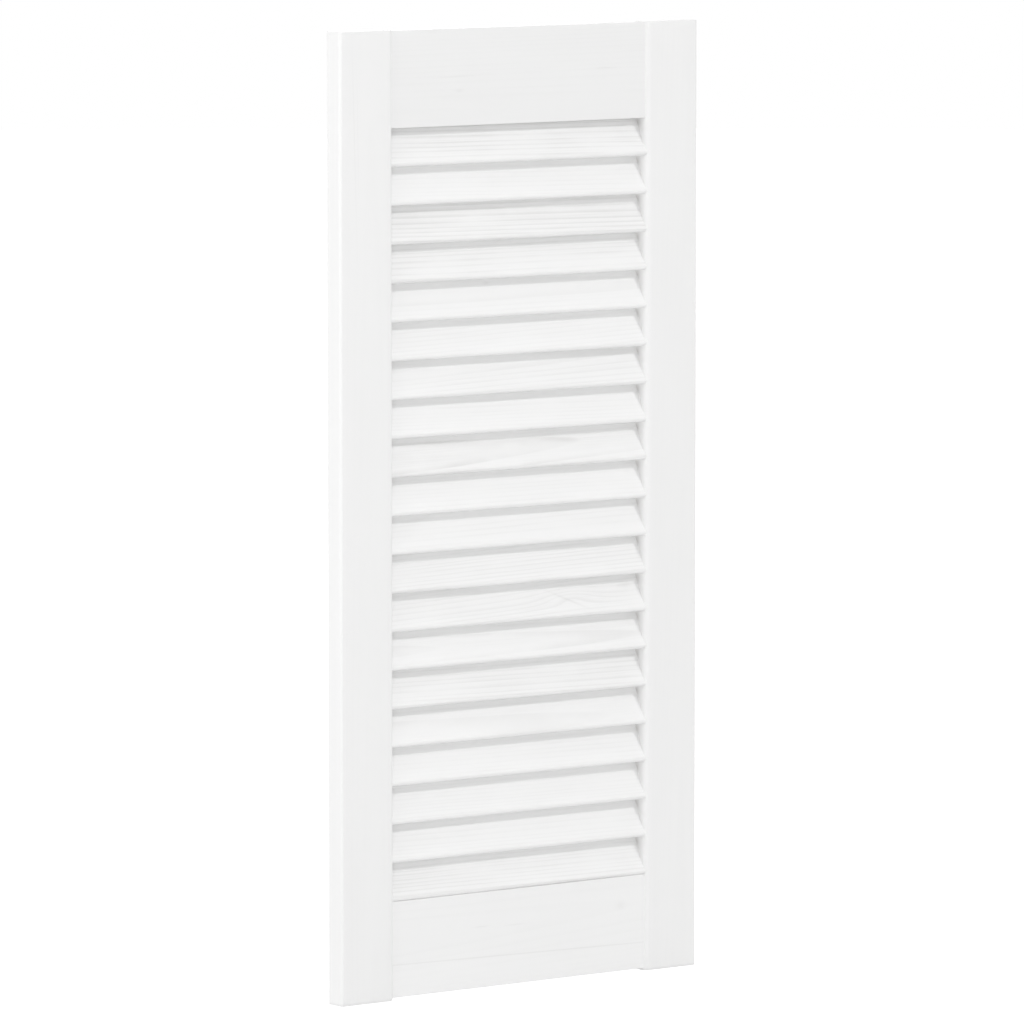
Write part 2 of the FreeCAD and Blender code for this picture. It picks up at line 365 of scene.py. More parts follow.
def painted_pine_group(figure: bpy.types.NodeTree) -> bpy.types.NodeTree:
    """Make a coat of paint that lets a board's figure show.

    Args:
        figure: The growth ring group.

    Returns:
        The group, which puts out Color, Roughness and Height, the surface's relief in metres.
    """
    patch_scale, patch_seed = (14.0, 60.0, 60.0), 11.3
    patch_low, patch_high, least_shown = 0.3, 0.62, 0.25
    cloud_scale, cloud_seed = (6.0, 25.0, 25.0), 29.1
    cloud_low, cloud_high, cloud_shade = 0.3, 0.7, 0.02
    brush_scale, brush_seed = (60.0, 1500.0, 1500.0), 5.9
    peel_scale, peel_seed = (700.0, 700.0, 700.0), 2.3
    fibre_strength = 0.45
    line_dullness, cloud_dullness = 0.06, 0.08

    figure_inputs = {"Place": SocketKind.VECTOR, **floats("Number", "Ring Spacing", "Wander", "Swirl")}
    make = new_group(
        "ShaderNodeTree",
        "painted_pine",
        {
            **figure_inputs,
            **floats("Show", "Stain And Shade", "Tone", "Line Shade", "Line Relief", "Brush Relief", "Gloss"),
            "Paint": SocketKind.COLOUR,
            "Shadow Tint": SocketKind.COLOUR,
        },
        {"Color": SocketKind.COLOUR, **floats("Roughness", "Height")},
    )
    source = make.add("NodeGroupInput").outputs
    place, number = source["Place"], source["Number"]
    passed_on = {name: source[name] for name in figure_inputs}
    rings = make.add("ShaderNodeGroup", passed_on, node_tree=figure).outputs

    patch = make.board_noise(place, number, patch_scale, patch_seed)
    clear = make.math("MULTIPLY", source["Show"], make.ramp(patch, patch_low, patch_high, least_shown, 1.0))
    shown_lines = make.math("MULTIPLY", rings["Latewood"], clear)
    shown_fibre = make.math("MULTIPLY", make.math("MULTIPLY", rings["Fibre"], clear), fibre_strength)
    lines = make.math("MULTIPLY", make.math("MAXIMUM", shown_lines, shown_fibre), source["Line Shade"])
    # The marks' darkening is added here: knots and grain lines, and painted shade on the stiles.
    shade = make.math("ADD", lines, source["Stain And Shade"])
    cloud = make.board_noise(place, number, cloud_scale, cloud_seed)
    uneven = make.ramp(cloud, cloud_low, cloud_high, 0.0, cloud_shade)
    shades = {"Factor": make.math("ADD", shade, uneven), "A": source["Paint"], "B": source["Shadow Tint"]}
    blend = make.add("ShaderNodeMix", shades, data_type="RGBA").outputs["Result"]
    toned = make.add("ShaderNodeVectorMath", {0: blend, "Scale": source["Tone"]}, operation="SCALE")

    satin = make.math("ADD", source["Gloss"], make.math("MULTIPLY", shown_lines, line_dullness))
    roughness = make.math("ADD", satin, make.math("MULTIPLY", cloud, cloud_dullness))

    brush = make.board_noise(place, number, brush_scale, brush_seed)
    peel = make.noise(make.stretch(place, peel_scale), peel_seed, 1.0)
    film = make.math("MULTIPLY", make.math("ADD", brush, peel), source["Brush Relief"])
    ridges = make.math("MULTIPLY", make.math("ADD", shown_lines, shown_fibre), source["Line Relief"])
    height = make.math("ADD", ridges, film)
    make.add("NodeGroupOutput", {"Color": toned.outputs[0], "Roughness": roughness, "Height": height})
    return make.tree


@dataclass(frozen=True)
class Mark:
    """A knot, a dark line or painted shade in one board, or a row of them, in millimetres.

    Along and through a stile or rail it is placed in the door's frame, along and through a slat from the
    slat's middle, and across any board from the middle of its width.
    """

    board: int
    along: float
    across: float
    length: float
    width: float
    darkness: float
    slope: float = 0.0
    push: float = 0.0
    through: float = 0.0
    depth: float = ENDLESS
    repeat: float = ENDLESS

    def inputs(self) -> dict[str, float]:
        """Give the mark group's values.

        Returns:
            The group's input names with their values, lengths in metres.
        """
        return {
            "Board": float(self.board),
            "Along": self.along * MM,
            "Across": self.across * MM,
            "Through": self.through * MM,
            "Slope": self.slope,
            "Repeat": self.repeat * MM,
            "Length": self.length * MM,
            "Width": self.width * MM,
            "Depth": self.depth * MM,
            "Darkness": self.darkness,
            "Push": self.push * MM,
        }


@dataclass(frozen=True)
class PaintFinish:
    """White satin paint on one kind of board."""

    name: str
    slot: str
    paint: Colour = (0.88, 0.88, 0.878, 1.0)
    tint: Colour = (0.40, 0.39, 0.375, 1.0)
    ring_spacing: float = 3.2 * MM
    wander: float = 4.0 * MM
    line_shade: float = 0.10
    line_relief: float = 0.05 * MM
    brush_relief: float = 0.008 * MM
    gloss: float = 0.38
    refraction: float = 1.48
    marks: tuple[Mark, ...] = ()

    def material(self, painted: bpy.types.NodeTree, mark_tree: bpy.types.NodeTree) -> bpy.types.Material:
        """Make the finish as a material.

        Args:
            painted: The painted pine group.
            mark_tree: The mark group.

        Returns:
            The material, which reads the board's own place, number, show and tone attributes.
        """
        result = bpy.data.materials.new(self.name)
        make = empty_nodes(result)
        spot = {"Place": make.stored(PLACE, "Vector"), "Number": make.stored(NUMBER)}
        swirl: Value = 0.0
        stain_and_shade: Value = 0.0
        # The marks: knots and grain lines, and the painted shade of the stiles' inner faces and corners.
        for mark in self.marks:
            node = make.add("ShaderNodeGroup", {**spot, **mark.inputs()}, node_tree=mark_tree)
            swirl = make.math("ADD", swirl, node.outputs["Swirl"])
            stain_and_shade = make.math("ADD", stain_and_shade, node.outputs["Stain And Shade"])

        coat_inputs = {
            **spot,
            "Show": make.stored(SHOW),
            "Tone": make.stored(TONE),
            "Paint": self.paint,
            "Shadow Tint": self.tint,
            "Ring Spacing": self.ring_spacing,
            "Wander": self.wander,
            "Swirl": swirl,
            "Stain And Shade": stain_and_shade,
            "Line Shade": self.line_shade,
            "Line Relief": self.line_relief,
            "Brush Relief": self.brush_relief,
            "Gloss": self.gloss,
        }
        coat = make.add("ShaderNodeGroup", coat_inputs, node_tree=painted).outputs
        bump = make.add("ShaderNodeBump", {"Distance": 1.0, "Height": coat["Height"]})
        shader_inputs = {
            "IOR": self.refraction,
            "Base Color": coat["Color"],
            "Roughness": coat["Roughness"],
            "Normal": bump.outputs["Normal"],
        }
        shader = make.add("ShaderNodeBsdfPrincipled", shader_inputs)
        make.add("ShaderNodeOutputMaterial", {"Surface": shader.outputs["BSDF"]})
        return result


def stile_shade_and_foot_line(stile: int, side: Side) -> tuple[Mark, ...]:
    """Describe the darkening painted on a stile: painted shade on its inner face between the slats, painted
    shadow in the corners under each slat and a darker line just above its foot.

    Args:
        stile: The stile's number.
        side: The side of the opening it stands on.

    Returns:
        The three marks, of which the last repeats with the slats.
    """
    foot_line, corner_shadow_drop = 1.2, 4.5
    low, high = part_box("left_stile")
    inner_face = side.value * (high.x - low.x) / 2 / MM
    first_low, first_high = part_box(SLATS[0])
    last_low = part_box(SLATS[-1])[0]
    pitch = (first_low.z - last_low.z) / (len(SLATS) - 1) / MM
    foot = Mark(stile, along=low.z / MM + foot_line, across=0.0, length=1.0, width=ENDLESS, darkness=0.13)
    # Painted shade: darkens the stile's inner face between the slats, where the slats shade it.
    face = Mark(stile, along=0.0, across=inner_face, length=ENDLESS, width=0.8, darkness=0.16, depth=6.0)
    # Painted shadow: a dark spot in each corner where a slat meets the stile under the slat above, repeated at
    # the slats' pitch.
    corner = Mark(
        stile,
        along=first_high.z / MM - corner_shadow_drop,
        across=inner_face,
        length=5.0,
        width=1.0,
        darkness=0.42,
        through=2.5,
        depth=3.5,
        repeat=pitch,
    )
    return foot, face, corner


STILE_PAINT = PaintFinish(
    "stile_white",
    "stile_paint",
    ring_spacing=4.5 * MM,
    line_shade=0.035,
    line_relief=0.02 * MM,
    marks=(
        Mark(LEFT_STILE, along=330.0, across=-13.6, length=80.0, width=0.6, darkness=0.06, slope=-0.028),
        Mark(LEFT_STILE, along=340.0, across=-10.0, length=50.0, width=0.5, darkness=0.04, slope=-0.02),
        # Painted shade on the stiles' inner faces and in the corners under the slats, and a darker line at
        # their feet.
        *stile_shade_and_foot_line(LEFT_STILE, Side.HINGE),
        *stile_shade_and_foot_line(RIGHT_STILE, Side.CLOSING),
    ),
)
RAIL_PAINT = PaintFinish(
    "rail_white",
    "rail_paint",
    ring_spacing=4.0 * MM,
    line_shade=0.055,
    line_relief=0.025 * MM,
    marks=(
        Mark(BOTTOM_RAIL, along=194.0, across=-16.2, length=250.0, width=0.6, darkness=0.13, slope=-0.019),
        Mark(BOTTOM_RAIL, along=155.0, across=11.8, length=8.0, width=0.6, darkness=0.09),
        Mark(BOTTOM_RAIL, along=192.0, across=10.3, length=10.0, width=0.6, darkness=0.08),
        Mark(BOTTOM_RAIL, along=310.0, across=16.6, length=5.0, width=4.0, darkness=0.06),
        Mark(TOP_RAIL, along=126.0, across=0.4, length=20.0, width=0.7, darkness=0.08, slope=0.02),
        Mark(TOP_RAIL, along=292.0, across=3.4, length=10.0, width=0.7, darkness=0.08),
        Mark(TOP_RAIL, along=131.0, across=-11.9, length=4.0, width=1.5, darkness=0.07),
    ),
)
SLAT_PAINT = PaintFinish(
    "slat_white",
    "slat_paint",
    ring_spacing=3.4 * MM,
    line_shade=0.27,
    marks=(
        Mark(13, along=60.0, across=0.0, length=30.0, width=8.0, darkness=0.0, push=6.0),
        Mark(13, along=57.0, across=-2.6, length=17.0, width=1.2, darkness=0.13, slope=-0.47),
        Mark(13, along=124.0, across=6.9, length=8.0, width=2.5, darkness=0.13),
        Mark(5, along=-29.0, across=13.0, length=3.0, width=1.5, darkness=0.12),
    ),
)

# How much of its grain shows on each slat that shows more than the plain ones do.
SHOWN_GRAIN = {
    1: 0.85,
    3: 1.0,
    4: 0.65,
    7: 0.48,
    9: 1.05,
    12: 0.55,
    13: 0.55,
    14: 0.55,
    15: 0.72,
    16: 0.38,
    20: 0.66,
}


def link_object(name: str, data: bpy.types.ID) -> bpy.types.Object:
    """Put a mesh, lamp or camera into the scene as an object at the origin.

    Args:
        name: The object's name.
        data: The mesh, lamp or camera.

    Returns:
        The new object.
    """
    holder = bpy.data.objects.new(name, data)
    bpy.context.scene.collection.objects.link(holder)
    return holder


def turn_towards(holder: bpy.types.Object, target: Vector, direction: Vector, distance: float) -> None:
    """Move a lamp or camera away from a point and turn it to look at that point.

    Args:
        holder: The object of the lamp or camera.
        target: The point.
        direction: The way from the point to the object, of length 1.
        distance: How far off the object stands.
    """
    holder.location = target + direction * distance
    holder.rotation_mode = "QUATERNION"
    holder.rotation_quaternion = direction.to_track_quat("Z", "Y")


def smooth(mesh: bpy.types.Mesh, sharp_from: float = 38.0) -> None:
    """Shade a mesh smooth, except across its sharp edges.

    Args:
        mesh: The mesh.
        sharp_from: The angle in degrees from which an edge counts as sharp.
    """
    mesh.polygons.foreach_set("use_smooth", [True] * len(mesh.polygons))
    mesh.set_sharp_from_angle(angle=math.radians(sharp_from))
    mesh.update()


def store_numbers(mesh: bpy.types.Mesh, name: str, values: list[float]) -> None:
    """Store one number for each point of a mesh under a name."""
    layer = mesh.attributes.new(name, "FLOAT", "POINT")
    layer.data.foreach_set("value", values)


def stand_in(piece: bpy.types.Object, nodes: list[str]) -> None:
    """Let a dressed piece stand for its nodes.

    Args:
        piece: The piece's object.
        nodes: The names of the nodes.
    """
    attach(piece, BODY)
    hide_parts(*nodes)
    log.info("%s: %d faces", piece.name, len(piece.data.polygons))


@dataclass(frozen=True)
class Corner:
    """A corner of a board's cross section, with the radius that rounds it."""

    depth: float
    across: float
    radius: float

    def point(self) -> Vector:
        """Give the corner's own point."""
        return Vector((self.depth, self.across, 0))


def plank_section(
    depth: tuple[float, float], across: tuple[float, float], rounds: tuple[float, float]
) -> list[Corner]:
    """List the corners of a plank's cross section.

    Args:
        depth: Its front and back.
        across: Its lower or left edge and its upper or right one.
        rounds: The radii that round those two edges.

    Returns:
        The corners in order, anticlockwise seen with depth to the right and across up.
    """
    front, back = depth
    return [
        Corner(front, across[0], rounds[0]),
        Corner(back, across[0], rounds[0]),
        Corner(back, across[1], rounds[1]),
        Corner(front, across[1], rounds[1]),
    ]


def rounded_outline(corners: list[Corner], inset: float, arc_steps: int, flat_steps: int) -> list[Vector]:
    """Trace a cross section with rounded corners.

    Args:
        corners: The section's corners in order, anticlockwise seen with depth to the right and across up.
        inset: How far the whole outline is drawn in.
        arc_steps: Straight steps in each rounded corner.
        flat_steps: Straight steps in each flat between corners.

    Returns:
        The outline's points as (depth, across, 0) vectors.
    """
    points: list[Vector] = []
    count = len(corners)
    for index, corner in enumerate(corners):
        before, after = corners[index - 1], corners[(index + 1) % count]
        arriving = (corner.point() - before.point()).normalized()
        leaving = (after.point() - corner.point()).normalized()
        inward = Vector((-arriving.y, arriving.x, 0)), Vector((-leaving.y, leaving.x, 0))
        centre = corner.point() + (inward[0] + inward[1]) * corner.radius
        for step in range(arc_steps + 1):
            turn = step / arc_steps * math.pi / 2
            out = -(inward[0] * math.cos(turn) + inward[1] * math.sin(turn))
            points.append(centre + out * (corner.radius - inset))
        next_start = after.point() - leaving * after.radius + inward[1] * inset
        last = points[-1].copy()
        for step in range(1, flat_steps):
            points.append(last.lerp(next_start, step / flat_steps))
    return points


@dataclass
class Board:
    """A straight board with one cross section, rounded edges and eased ends."""

    name: str
    node: str
    run: Run
    number: int
    finish: PaintFinish
    show: float
    corners: list[Corner]
    start: float
    end: float
    tone: float = 1.0
    end_ease: float = 0.6 * MM
    ring_step: float = 14.0 * MM
    arc_steps: int = 9
    flat_steps: int = 6
    ease_steps: int = 4
    unevenness: float = 0.05 * MM
    wave_rate: float = 22.0
    wave_shift: float = 3.1

    def stations(self) -> list[tuple[float, float]]:
        """List the places along the board where its outline is drawn.

        Returns:
            Pairs of the place along the board and the outline's inset there, eased at both ends.
        """
        rings: list[tuple[float, float]] = []
        for step in range(self.ease_steps + 1):
            turn = step / self.ease_steps * math.pi / 2
            inset = self.end_ease * (1 - math.sin(turn))
            rings.append((self.start + self.end_ease * (1 - math.cos(turn)), inset))
        eased_end = [(self.end - (place - self.start), inset) for place, inset in reversed(rings)]
        near, far = self.start + self.end_ease, self.end - self.end_ease
        steps = max(1, round((far - near) / self.ring_step))
        rings += [(near + (far - near) * step / steps, 0.0) for step in range(1, steps)]
        return rings + eased_end

    def place(self, along: float, point: Vector) -> Vector:
        """Put a point of the outline into the door's frame.

        Args:
            along: Its place along the board.
            point: Its depth and its place across the board.

        Returns:
            The point in the door's frame.
        """
        if self.run is Run.UPRIGHT:
            return Vector((point.y, point.x, along))
        return Vector((along, point.x, point.y))

    def build(self) -> bpy.types.Object:
        """Make the board's mesh, closed and smooth, with what its paint reads stored on it.

        Returns:
            The new object.
        """
        shape = bmesh.new()
        place_layer = shape.verts.layers.float_vector.new(PLACE)
        middle = (max(c.across for c in self.corners) + min(c.across for c in self.corners)) / 2
        loops = []
        for along, inset in self.stations():
            loop = []
            for point in rounded_outline(self.corners, inset, self.arc_steps, self.flat_steps):
                vertex = shape.verts.new(self.place(along, point))
                vertex[place_layer] = Vector((along, point.x, point.y - middle))
                loop.append(vertex)
            loops.append(loop)
        for lower, upper in zip(loops, loops[1:]):
            for index in range(len(lower)):
                following = (index + 1) % len(lower)
                shape.faces.new((lower[index], lower[following], upper[following], upper[index]))
        shape.faces.new(list(reversed(loops[0])))
        shape.faces.new(loops[-1])
        bmesh.ops.recalc_face_normals(shape, faces=shape.faces)
        self.soften(shape)
        mesh = bpy.data.meshes.new(self.name)
        shape.to_mesh(mesh)
        shape.free()
        smooth(mesh)
        for name, value in ((NUMBER, float(self.number)), (SHOW, self.show), (TONE, self.tone)):
            store_numbers(mesh, name, [value] * len(mesh.vertices))
        return link_object(self.name, mesh)

    def soften(self, shape: bmesh.types.BMesh) -> None:
        """Draw the faces in by a hair here and there, as sanding does.

        Args:
            shape: The board's mesh.
        """
        shape.normal_update()
        own_shift = Vector((self.number * self.wave_shift, 0, 0))
        moves = []
        for vertex in shape.verts:
            wave = noise.noise(vertex.co * self.wave_rate + own_shift)
            moves.append(vertex.normal * (-self.unevenness * (0.5 + 0.5 * wave)))
        for vertex, move in zip(shape.verts, moves):
            vertex.co += move

    def dress(self, piece: bpy.types.Object, material: bpy.types.Material) -> None:
        """Give the board its finish and let it stand for its node."""
        piece.data.materials.append(material)
        stand_in(piece, [self.node])


@dataclass(frozen=True)
class LeafFrame:
    """The two stiles, and the two rails between them that run a little way into the stiles."""

    inner_round: float = 6.0 * MM
    outer_round: float = 3.0 * MM
    stile_show: float = 0.45
    rail_round: float = 0.6 * MM
    rail_end_ease: float = 0.3 * MM
    rail_let_in: float = 4.0 * MM
    rail_show: float = 0.5
    top_rail_tone: float = 0.985
    bottom_rail_tone: float = 1.02
    paint_in_joint: float = 0.28 * MM

    def stile(self, name: str, side: Side, number: int) -> Board:
        """Describe a stile from its node's box.

        Args:
            name: The node's name.
            side: The side of the opening it stands on.
            number: Its number among the boards.

        Returns:
            The stile as a board.
        """
        low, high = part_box(name)
        rounds = self.outer_round, self.inner_round
        if side is Side.CLOSING:
            rounds = self.inner_round, self.outer_round
        return Board(
            name=f"{name}_board",
            node=name,
            run=Run.UPRIGHT,
            number=number,
            finish=STILE_PAINT,
            show=self.stile_show,
            corners=plank_section((low.y, high.y), (low.x, high.x), rounds),
            start=low.z,
            end=high.z,
        )

    def rail(self, name: str, number: int, tone: float, paint_above: float) -> Board:
        """Describe a rail from its node's box and the stiles'.

        Args:
            name: The node's name.
            number: Its number among the boards.
            tone: How bright its paint is beside the other boards.
            paint_above: The thickness of paint on its upper edge.

        Returns:
            The rail as a board.
        """
        low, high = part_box(name)
        rounds = self.rail_round, self.rail_round
        return Board(
            name=f"{name}_board",
            node=name,
            run=Run.LEVEL,
            number=number,
            finish=RAIL_PAINT,
            show=self.rail_show,
            corners=plank_section((low.y, high.y), (low.z, high.z + paint_above), rounds),
            start=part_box("left_stile")[1].x - self.rail_let_in,
            end=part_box("right_stile")[0].x + self.rail_let_in,
            tone=tone,
            end_ease=self.rail_end_ease,
        )

    def build(self) -> list[tuple[Board, bpy.types.Object]]:
        """Make both stiles and both rails, with paint in the joint between the lower rail and its slat.

        Returns:
            Each board with its object.
        """
        boards = (
            self.stile("left_stile", Side.HINGE, LEFT_STILE),
            self.stile("right_stile", Side.CLOSING, RIGHT_STILE),
            self.rail("top_rail", TOP_RAIL, self.top_rail_tone, 0.0),
            self.rail("bottom_rail", BOTTOM_RAIL, self.bottom_rail_tone, self.paint_in_joint),
        )
        return [(board, board.build()) for board in boards]

    def dress(
        self, built: list[tuple[Board, bpy.types.Object]], materials: dict[str, bpy.types.Material]
    ) -> None:
        """Dress the boards.

        Args:
            built: Each board with its object.
            materials: The materials by their finishes' names.
        """
        for board, piece in built:
            board.dress(piece, materials[board.finish.name])


@dataclass
class SlatLadder:
    """The row of fixed slats, each a thin board with fully rounded edges that leans back at the top."""

    nodes: list[str]
    shown_grain: dict[int, float]
    name: str = "slat_ladder"
    thickness: float = 5.0 * MM
    width: float = 36.0 * MM
    flat_steps: int = 20
    round_steps: int = 10
    length_steps: int = 36
    relief: float = 0.05 * MM
    wave_scale: Triple = (12.0, 60.0, 90.0)
    seed: float = 4.0
    plain_show: float = 0.28

    def tree(self) -> bpy.types.NodeTree:
        """Build the geometry tree that makes the slats.

        Returns:
            The tree, with named inputs for the slats' sizes, places and material.
        """
        inputs = {
            **floats("Length", "Width", "Thickness", "Lean", "Pitch", "Relief", "Seed"),
            "Count": SocketKind.INTEGER,
            "Lowest": SocketKind.VECTOR,
            "Material": SocketKind.MATERIAL,
        }
        make = new_group("GeometryNodeTree", self.name, inputs, {"Slats": SocketKind.GEOMETRY})
        source = make.add("NodeGroupInput").outputs

        line_inputs = {
            "Count": source["Count"],
            "Start Location": source["Lowest"],
            "Offset": make.vector(0.0, 0.0, source["Pitch"]),
        }
        line = make.add("GeometryNodeMeshLine", line_inputs, mode="OFFSET", count_mode="TOTAL")
        row_inputs = {"Points": line.outputs["Mesh"], "Instance": self.slat_nodes(make, source)}
        row = make.add("GeometryNodeInstanceOnPoints", row_inputs)
        from_top = make.math("SUBTRACT", source["Count"], make.add("GeometryNodeInputIndex").outputs[0])
        numbered = make.add(
            "GeometryNodeStoreNamedAttribute",
            {"Geometry": row.outputs["Instances"], "Name": NUMBER, "Value": from_top},
            data_type="FLOAT",
            domain="INSTANCE",
        )
        whole = make.add("GeometryNodeRealizeInstances", {"Geometry": numbered.outputs["Geometry"]})

        place = make.add("GeometryNodeInputNamedAttribute", {"Name": PLACE}, data_type="FLOAT_VECTOR")
        number = make.add("GeometryNodeInputNamedAttribute", {"Name": NUMBER}, data_type="FLOAT")
        wave = make.board_noise(place.outputs[0], number.outputs[0], self.wave_scale, source["Seed"], 1.0)
        drawn_in = make.math("MULTIPLY", make.math("MULTIPLY", wave, source["Relief"]), -1.0)
        normal = make.add("GeometryNodeInputNormal").outputs[0]
        push = make.add("ShaderNodeVectorMath", {0: normal, "Scale": drawn_in}, operation="SCALE")
        sanded_inputs = {"Geometry": whole.outputs["Geometry"], "Offset": push.outputs[0]}
        sanded = make.add("GeometryNodeSetPosition", sanded_inputs)
        coated_inputs = {"Geometry": sanded.outputs["Geometry"], "Material": source["Material"]}
        coated = make.add("GeometryNodeSetMaterial", coated_inputs)
        make.add("NodeGroupOutput", {"Slats": coated.outputs["Geometry"]})
        return make.tree

    def slat_nodes(self, make: TreeMaker, source: bpy.types.NodeOutputs) -> Socket:
        """Add the nodes that shape one slat about the origin.

        A round bar is pulled out into two flats joined by half circles, then leant back.

        Args:
            make: The maker on the ladder's tree.
            source: The tree's input sockets.

        Returns:
            The slat's geometry socket.
        """
        steps = self.flat_steps + self.round_steps
        sizes = {"Vertices": 2 * steps, "Side Segments": self.length_steps, "Radius": 1.0, "Depth": 1.0}
        bar = make.add("GeometryNodeMeshCylinder", sizes, fill_type="NGON")

        # The nudge keeps the first point of each half from falling just short of its start.
        nudge = 0.0005
        bar_x, bar_y, bar_z = make.split(make.add("GeometryNodeInputPosition").outputs[0])
        angle = make.math("ADD", make.math("ARCTAN2", bar_y, bar_x), math.tau)
        turn = make.math("FRACT", make.math("ADD", make.math("DIVIDE", angle, math.tau), nudge))
        second_half = make.math("GREATER_THAN", turn, 0.5)
        sign = make.math("SUBTRACT", 1.0, make.math("MULTIPLY", second_half, 2.0))
        half = make.math("SUBTRACT", make.math("FRACT", make.math("MULTIPLY", turn, 2.0)), 2 * nudge)
        share = self.flat_steps / steps
        flat = make.clamp(make.math("DIVIDE", half, share))
        bend = make.clamp(make.math("DIVIDE", make.math("SUBTRACT", half, share), 1 - share))
        swing = make.math("MULTIPLY", bend, math.pi)

        radius = make.math("MULTIPLY", source["Thickness"], 0.5)
        run = make.math("SUBTRACT", source["Width"], source["Thickness"])
        along_flat = make.math("MULTIPLY", run, make.math("SUBTRACT", flat, 0.5))
        rim = make.math("ADD", along_flat, make.math("MULTIPLY", radius, make.math("SINE", swing)))
        across = make.math("MULTIPLY", sign, rim)
        through = make.math("MULTIPLY", sign, make.math("MULTIPLY", radius, make.math("COSINE", swing)))
        along = make.math("MULTIPLY", bar_z, source["Length"])

        sine, cosine = make.math("SINE", source["Lean"]), make.math("COSINE", source["Lean"])
        depth = make.math("ADD", make.math("MULTIPLY", across, sine), make.math("MULTIPLY", through, cosine))
        upright, sunk = make.math("MULTIPLY", across, cosine), make.math("MULTIPLY", through, sine)
        height = make.math("SUBTRACT", upright, sunk)

        placed = make.add(
            "GeometryNodeStoreNamedAttribute",
            {"Geometry": bar.outputs["Mesh"], "Name": PLACE, "Value": make.vector(along, through, across)},
            data_type="FLOAT_VECTOR",
            domain="POINT",
        )
        bent_inputs = {"Geometry": placed.outputs["Geometry"], "Position": make.vector(along, depth, height)}
        return make.add("GeometryNodeSetPosition", bent_inputs).outputs["Geometry"]

    def build(self, material: bpy.types.Material) -> bpy.types.Object:
        """Run the tree on the nodes' boxes and keep its result as a plain mesh.

        Args:
            material: The slats' material.

        Returns:
            The ladder's object.
        """
        low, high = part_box(self.nodes[-1])
        highest_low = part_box(self.nodes[0])[0]
        count = len(self.nodes)
        tree = self.tree()
        holder = link_object("slat_maker", bpy.data.meshes.new("slat_maker"))
        modifier = holder.modifiers.new("slats", "NODES")
        modifier.node_group = tree
        values = {
            "Length": high.x - low.x,
            "Width": self.width,
            "Thickness": self.thickness,
            "Lean": math.asin((high.y - low.y - self.thickness) / (self.width - self.thickness)),
            "Count": count,
            "Pitch": (highest_low.z - low.z) / (count - 1),
            "Lowest": tuple((low + high) / 2),
            "Relief": self.relief,
            "Seed": self.seed,
            "Material": material,
        }
        for socket in tree.interface.items_tree:
            if socket.in_out == "INPUT":
                modifier[socket.identifier] = values[socket.name]
        bpy.context.view_layer.update()
        graph = bpy.context.evaluated_depsgraph_get()
        mesh = bpy.data.meshes.new_from_object(holder.evaluated_get(graph), depsgraph=graph)
        holder.modifiers.remove(modifier)
        bpy.data.objects.remove(holder)
        mesh.name = self.name
        smooth(mesh)
        self.mark_grain(mesh)
        return link_object(self.name, mesh)

    def mark_grain(self, mesh: bpy.types.Mesh) -> None:
        """Store on each slat how much of its grain shows through the paint, and the paint's plain tone.

        Args:
            mesh: The ladder's mesh.
        """
        numbers = [0.0] * len(mesh.vertices)
        mesh.attributes[NUMBER].data.foreach_get("value", numbers)
        shown = [self.shown_grain.get(round(number), self.plain_show) for number in numbers]
        store_numbers(mesh, SHOW, shown)
        store_numbers(mesh, TONE, [1.0] * len(numbers))

    def dress(self, piece: bpy.types.Object) -> None:
        """Let the ladder, which its tree has given its material, stand for the slats' nodes."""
        stand_in(piece, self.nodes)


@dataclass(frozen=True)
class Softbox:
    """A square studio lamp that points at the door."""

    name: str
    towards: Triple
    distance: float
    size: float
    level: float

    def build(self, aim: Vector) -> None:
        """Hang the lamp.

        Args:
            aim: The point that it lights; a white face turned to it there would show the level.
        """
        lamp = bpy.data.lights.new(self.name, "AREA")
        lamp.shape = "SQUARE"
        lamp.size = self.size
        # A face turned to the lamp gets its energy over pi and the distance squared; white shows that over pi.
        lamp.energy = self.level * math.pi**2 * self.distance**2
        turn_towards(link_object(self.name, lamp), aim, Vector(self.towards).normalized(), self.distance)


